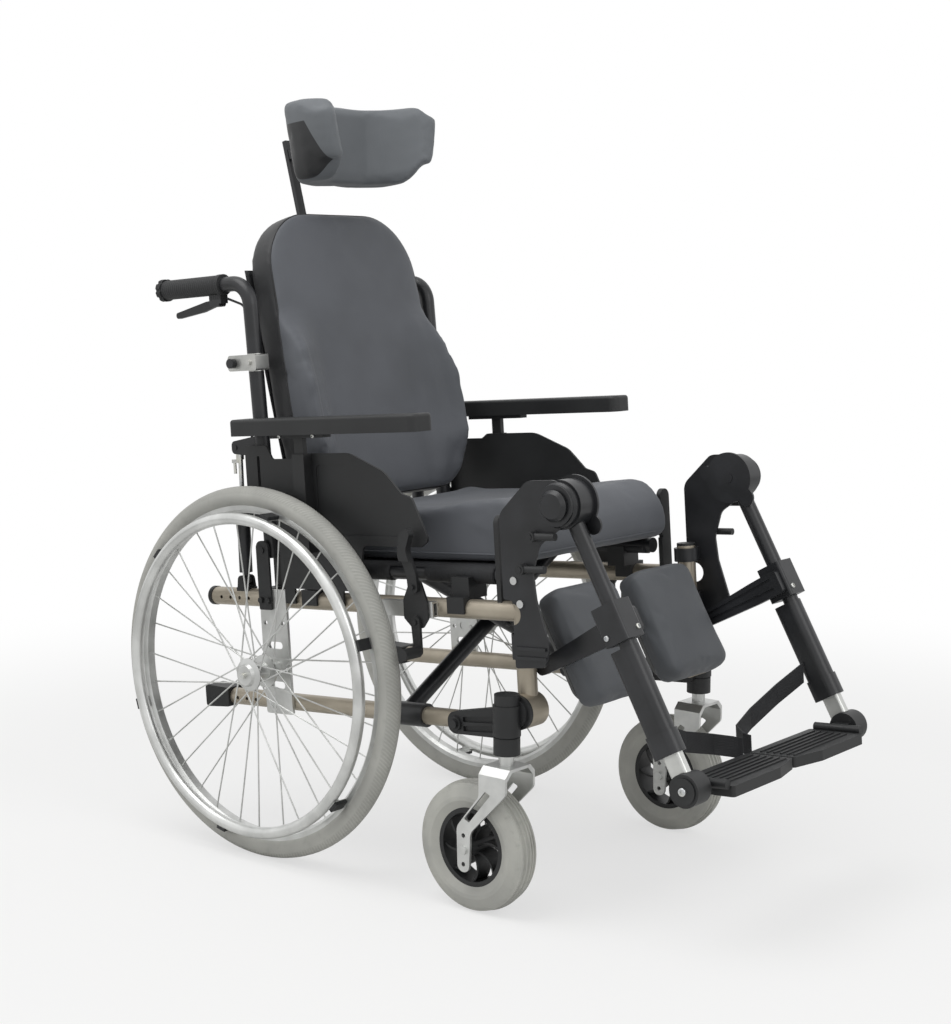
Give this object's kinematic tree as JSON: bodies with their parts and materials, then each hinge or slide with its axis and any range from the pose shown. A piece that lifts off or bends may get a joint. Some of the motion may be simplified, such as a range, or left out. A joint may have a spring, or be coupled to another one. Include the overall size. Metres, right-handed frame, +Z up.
{
  "type": "folding reclining wheelchair",
  "caption": "Manual wheelchair with spoked rear wheels, swivel casters, folding cross brace, reclining contoured back, headrest, height-set armrests and elevating legrests.",
  "frame": {"origin": "on the floor, at the middle of the chair's length and width", "axes": "Z up, the sitter faces -Y, the sitter's right is -X"},
  "size_m": [0.66, 1.1469, 1.241],
  "materials": {
    "frame_paint": "champagne satin paint",
    "black_paint": "black satin powder coat",
    "black_aluminium": "black anodised",
    "bare_aluminium": "brushed",
    "steel": "zinc plated",
    "black_plastic": "moulded, fine grain",
    "tyre_grey": "pale grey rubber",
    "cover_cloth": "slate grey stretch cover",
    "sling_cloth": "black woven nylon",
    "webbing": "black webbing"
  },
  "bodies": {
    "frame_r": {"side_frame_r": "frame_paint", "rail_fittings_r": "black_plastic", "axle_plate_r": "bare_aluminium", "side_panel_r": "black_plastic"},
    "frame_l": {"side_frame_l": "frame_paint", "rail_fittings_l": "black_plastic", "axle_plate_l": "bare_aluminium", "side_panel_l": "black_plastic"},
    "brace_a": {"brace_a": "black_aluminium"},
    "brace_b": {"brace_b": "black_aluminium"},
    "seat": {"seat_sling": "sling_cloth", "seat_cushion": "cover_cloth"},
    "back_unit": {"back_sling": "sling_cloth", "back_cushion": "cover_cloth", "headrest_bar": "black_aluminium"},
    "head_post": {"headrest_post": "black_aluminium"},
    "head_pad": {"headrest_pad": "cover_cloth"},
    "cane_r": {"back_cane_r": "black_aluminium"},
    "recline_lever_r": {"recline_lever_r": "black_plastic"},
    "gas_cylinder_r": {"gas_cylinder_r": "black_aluminium"},
    "gas_rod_r": {"gas_rod_r": "steel"},
    "wheel_r": {"wheel_tyre_r": "tyre_grey", "wheel_rim_r": "bare_aluminium", "handrim_r": "bare_aluminium"},
    "axle_button_r": {"axle_button_r": "steel"},
    "fork_r": {"caster_fork_r": "bare_aluminium"},
    "caster_r": {"caster_wheel_r": "tyre_grey"},
    "arm_r": {"armrest_r": "black_plastic"},
    "brake_lever_r": {"brake_lever_r": "black_plastic"},
    "brake_shoe_r": {"brake_shoe_r": "black_plastic"},
    "hanger_r": {"hanger_r": "black_aluminium"},
    "swing_latch_r": {"swing_latch_r": "black_plastic"},
    "knee_release_r": {"knee_release_r": "black_plastic"},
    "leg_r": {"leg_tube_r": "black_aluminium", "heel_strap_r": "webbing"},
    "foot_r": {"foot_tube_r": "bare_aluminium"},
    "plate_r": {"footplate_r": "black_plastic"},
    "calf_r": {"calf_pad_r": "cover_cloth"},
    "cane_l": {"back_cane_l": "black_aluminium"},
    "recline_lever_l": {"recline_lever_l": "black_plastic"},
    "gas_cylinder_l": {"gas_cylinder_l": "black_aluminium"},
    "gas_rod_l": {"gas_rod_l": "steel"},
    "wheel_l": {"wheel_tyre_l": "tyre_grey", "wheel_rim_l": "bare_aluminium", "handrim_l": "bare_aluminium"},
    "axle_button_l": {"axle_button_l": "steel"},
    "fork_l": {"caster_fork_l": "bare_aluminium"},
    "caster_l": {"caster_wheel_l": "tyre_grey"},
    "arm_l": {"armrest_l": "black_plastic"},
    "brake_lever_l": {"brake_lever_l": "black_plastic"},
    "brake_shoe_l": {"brake_shoe_l": "black_plastic"},
    "hanger_l": {"hanger_l": "black_aluminium"},
    "swing_latch_l": {"swing_latch_l": "black_plastic"},
    "knee_release_l": {"knee_release_l": "black_plastic"},
    "leg_l": {"leg_tube_l": "black_aluminium", "heel_strap_l": "webbing"},
    "foot_l": {"foot_tube_l": "bare_aluminium"},
    "plate_l": {"footplate_l": "black_plastic"},
    "calf_l": {"calf_pad_l": "cover_cloth"}
  },
  "joints": [
    {"name": "fold", "type": "hinge", "parent": "frame_r", "child": "brace_a", "pos_m": [-0.222, -0.01011, 0.2673], "axis": [0, -0.9973, 0.0732], "range_deg": [0, 46], "deforming": ["seat_sling", "seat_cushion", "back_sling", "back_cushion"]},
    {"name": "fold_cross", "type": "hinge", "parent": "brace_a", "child": "brace_b", "pos_m": [0, -0.0016, 0.38325], "axis": [0, -0.9973, 0.0732], "range_deg": [-92, 0]},
    {"name": "fold_far", "type": "hinge", "parent": "brace_b", "child": "frame_l", "pos_m": [0.222, -0.01011, 0.2673], "axis": [0, -0.9973, 0.0732], "range_deg": [0, 46]},
    {"name": "fold_seat", "type": "hinge", "parent": "brace_b", "child": "seat", "pos_m": [-0.2, 0.00608, 0.4877], "axis": [0, -0.9973, 0.0732], "range_deg": [0, 46]},
    {"name": "fold_back", "type": "slide", "parent": "cane_r", "child": "back_unit", "axis": [-1, 0, 0], "range_m": [0, 0.1519]},
    {"name": "recline_r", "type": "hinge", "parent": "frame_r", "child": "cane_r", "pos_m": [-0.222, 0.29611, 0.49849], "axis": [-1, 0, 0], "range_deg": [0, 30]},
    {"name": "gas_foot_r", "type": "hinge", "parent": "frame_r", "child": "gas_cylinder_r", "pos_m": [-0.222, 0.35851, 0.43976], "axis": [-1, 0, 0], "range_deg": [0, 24.03]},
    {"name": "gas_head_r", "type": "hinge", "parent": "cane_r", "child": "gas_rod_r", "pos_m": [-0.222, 0.36886, 0.6626], "axis": [-1, 0, 0], "range_deg": [-5.99, 0]},
    {"name": "recline_l", "type": "hinge", "parent": "frame_l", "child": "cane_l", "pos_m": [0.222, 0.29611, 0.49849], "axis": [-1, 0, 0], "range_deg": [0, 30]},
    {"name": "gas_foot_l", "type": "hinge", "parent": "frame_l", "child": "gas_cylinder_l", "pos_m": [0.222, 0.35851, 0.43976], "axis": [-1, 0, 0], "range_deg": [0, 24.03]},
    {"name": "gas_head_l", "type": "hinge", "parent": "cane_l", "child": "gas_rod_l", "pos_m": [0.222, 0.36886, 0.6626], "axis": [-1, 0, 0], "range_deg": [-5.99, 0]},
    {"name": "recline_lever_r", "type": "hinge", "parent": "cane_r", "child": "recline_lever_r", "pos_m": [-0.222, 0.42046, 0.90096], "axis": [1, 0, 0], "range_deg": [0, 11], "stiffness_Nm_per_rad": 1, "springref_deg": -11.46},
    {"name": "recline_lever_l", "type": "hinge", "parent": "cane_l", "child": "recline_lever_l", "pos_m": [0.222, 0.42046, 0.90096], "axis": [1, 0, 0], "range_deg": [0, 11], "stiffness_Nm_per_rad": 1, "springref_deg": -11.46},
    {"name": "headrest_height", "type": "slide", "parent": "back_unit", "child": "head_post", "axis": [0, 0.2588, 0.9659], "range_m": [0, 0.07]},
    {"name": "headrest_tilt", "type": "hinge", "parent": "head_post", "child": "head_pad", "pos_m": [0, 0.40541, 1.16026], "axis": [1, 0, 0], "range_deg": [-12, 12]},
    {"name": "wheel_r", "type": "hinge", "parent": "frame_r", "child": "wheel_r", "pos_m": [-0.285, 0.2684, 0.305], "axis": [1, 0, 0], "continuous": true},
    {"name": "axle_button_r", "type": "slide", "parent": "wheel_r", "child": "axle_button_r", "axis": [1, 0, 0], "range_m": [0, 0.0035], "stiffness_N_per_m": 400, "springref_m": -0.002},
    {"name": "swivel_r", "type": "hinge", "parent": "frame_r", "child": "fork_r", "pos_m": [-0.262, -0.2286, 0.232], "axis": [0, 0, 1], "continuous": true},
    {"name": "caster_r", "type": "hinge", "parent": "fork_r", "child": "caster_r", "pos_m": [-0.262, -0.1746, 0.1], "axis": [1, 0, 0], "continuous": true},
    {"name": "arm_height_r", "type": "slide", "parent": "frame_r", "child": "arm_r", "axis": [0, 0.0732, 0.9973], "range_m": [0, 0.07]},
    {"name": "wheel_l", "type": "hinge", "parent": "frame_l", "child": "wheel_l", "pos_m": [0.285, 0.2684, 0.305], "axis": [1, 0, 0], "continuous": true},
    {"name": "axle_button_l", "type": "slide", "parent": "wheel_l", "child": "axle_button_l", "axis": [-1, 0, 0], "range_m": [0, 0.0035], "stiffness_N_per_m": 400, "springref_m": -0.002},
    {"name": "swivel_l", "type": "hinge", "parent": "frame_l", "child": "fork_l", "pos_m": [0.262, -0.2286, 0.232], "axis": [0, 0, 1], "continuous": true},
    {"name": "caster_l", "type": "hinge", "parent": "fork_l", "child": "caster_l", "pos_m": [0.262, -0.1746, 0.1], "axis": [1, 0, 0], "continuous": true},
    {"name": "arm_height_l", "type": "slide", "parent": "frame_l", "child": "arm_l", "axis": [0, 0.0732, 0.9973], "range_m": [0, 0.07]},
    {"name": "brake_r", "type": "hinge", "parent": "frame_r", "child": "brake_lever_r", "pos_m": [-0.25, -0.04389, 0.47633], "axis": [1, 0, 0], "range_deg": [0, 38]},
    {"name": "brake_shoe_r", "type": "hinge", "parent": "frame_r", "child": "brake_shoe_r", "pos_m": [-0.25, -0.04785, 0.42248], "axis": [1, 0, 0], "range_deg": [0, 20.44]},
    {"name": "brake_l", "type": "hinge", "parent": "frame_l", "child": "brake_lever_l", "pos_m": [0.25, -0.04389, 0.47633], "axis": [1, 0, 0], "range_deg": [0, 38]},
    {"name": "brake_shoe_l", "type": "hinge", "parent": "frame_l", "child": "brake_shoe_l", "pos_m": [0.25, -0.04785, 0.42248], "axis": [1, 0, 0], "range_deg": [0, 20.44]},
    {"name": "legrest_swing_r", "type": "hinge", "parent": "frame_r", "child": "hanger_r", "pos_m": [-0.222, -0.22797, 0.45476], "axis": [0, -0.0732, -0.9973], "range_deg": [0, 90]},
    {"name": "swing_latch_r", "type": "hinge", "parent": "hanger_r", "child": "swing_latch_r", "pos_m": [-0.246, -0.25091, 0.52462], "axis": [1, 0, 0], "range_deg": [0, 18], "stiffness_Nm_per_rad": 0.3, "springref_deg": -17.19},
    {"name": "knee_release_r", "type": "hinge", "parent": "hanger_r", "child": "knee_release_r", "pos_m": [-0.246, -0.26933, 0.5741], "axis": [1, 0, 0], "range_deg": [0, 18], "stiffness_Nm_per_rad": 0.3, "springref_deg": -17.19},
    {"name": "knee_r", "type": "hinge", "parent": "hanger_r", "child": "leg_r", "pos_m": [-0.229, -0.31192, 0.62235], "axis": [-1, 0, 0], "range_deg": [0, 72]},
    {"name": "foot_length_r", "type": "slide", "parent": "leg_r", "child": "foot_r", "axis": [0, -0.4909, -0.8712], "range_m": [0, 0.09], "deforming": ["heel_strap_r"]},
    {"name": "footplate_r", "type": "hinge", "parent": "foot_r", "child": "plate_r", "pos_m": [-0.196, -0.52622, 0.24463], "axis": [0, -0.9973, 0.0732], "range_deg": [0, 90], "deforming": ["heel_strap_r"]},
    {"name": "calf_tilt_r", "type": "hinge", "parent": "leg_r", "child": "calf_r", "pos_m": [-0.12, -0.25098, 0.36993], "axis": [1, 0, 0], "range_deg": [-12, 12]},
    {"name": "legrest_swing_l", "type": "hinge", "parent": "frame_l", "child": "hanger_l", "pos_m": [0.222, -0.22797, 0.45476], "axis": [0, 0.0732, 0.9973], "range_deg": [0, 90]},
    {"name": "swing_latch_l", "type": "hinge", "parent": "hanger_l", "child": "swing_latch_l", "pos_m": [0.246, -0.25091, 0.52462], "axis": [1, 0, 0], "range_deg": [0, 18], "stiffness_Nm_per_rad": 0.3, "springref_deg": -17.19},
    {"name": "knee_release_l", "type": "hinge", "parent": "hanger_l", "child": "knee_release_l", "pos_m": [0.246, -0.26933, 0.5741], "axis": [1, 0, 0], "range_deg": [0, 18], "stiffness_Nm_per_rad": 0.3, "springref_deg": -17.19},
    {"name": "knee_l", "type": "hinge", "parent": "hanger_l", "child": "leg_l", "pos_m": [0.229, -0.31192, 0.62235], "axis": [-1, 0, 0], "range_deg": [0, 72]},
    {"name": "foot_length_l", "type": "slide", "parent": "leg_l", "child": "foot_l", "axis": [0, -0.4909, -0.8712], "range_m": [0, 0.09], "deforming": ["heel_strap_l"]},
    {"name": "footplate_l", "type": "hinge", "parent": "foot_l", "child": "plate_l", "pos_m": [0.196, -0.52622, 0.24463], "axis": [0, 0.9973, -0.0732], "range_deg": [0, 90], "deforming": ["heel_strap_l"]},
    {"name": "calf_tilt_l", "type": "hinge", "parent": "leg_l", "child": "calf_l", "pos_m": [0.12, -0.25098, 0.36993], "axis": [1, 0, 0], "range_deg": [-12, 12]}
  ],
  "couplings": [
    {"joint": "fold_cross", "follows": "fold", "ratio": -2},
    {"joint": "fold_far", "follows": "fold", "ratio": 1},
    {"joint": "fold_seat", "follows": "fold", "ratio": 1},
    {"joint": "fold_back", "follows": "fold", "m_per_rad": 0.18858},
    {"joint": "recline_l", "follows": "recline_r", "ratio": 1},
    {"joint": "gas_foot_r", "follows": "recline_r", "ratio": 0.80076},
    {"joint": "gas_head_r", "follows": "recline_r", "ratio": -0.19924},
    {"joint": "gas_foot_l", "follows": "recline_r", "ratio": 0.80076},
    {"joint": "gas_head_l", "follows": "recline_r", "ratio": -0.19924},
    {"joint": "brake_shoe_r", "follows": "brake_r", "ratio": 0.53763},
    {"joint": "brake_shoe_l", "follows": "brake_l", "ratio": 0.53763},
    {"joint": "legrest_swing_r", "follows": "fold", "ratio": 1.9565},
    {"joint": "legrest_swing_l", "follows": "fold", "ratio": 1.9565}
  ]
}
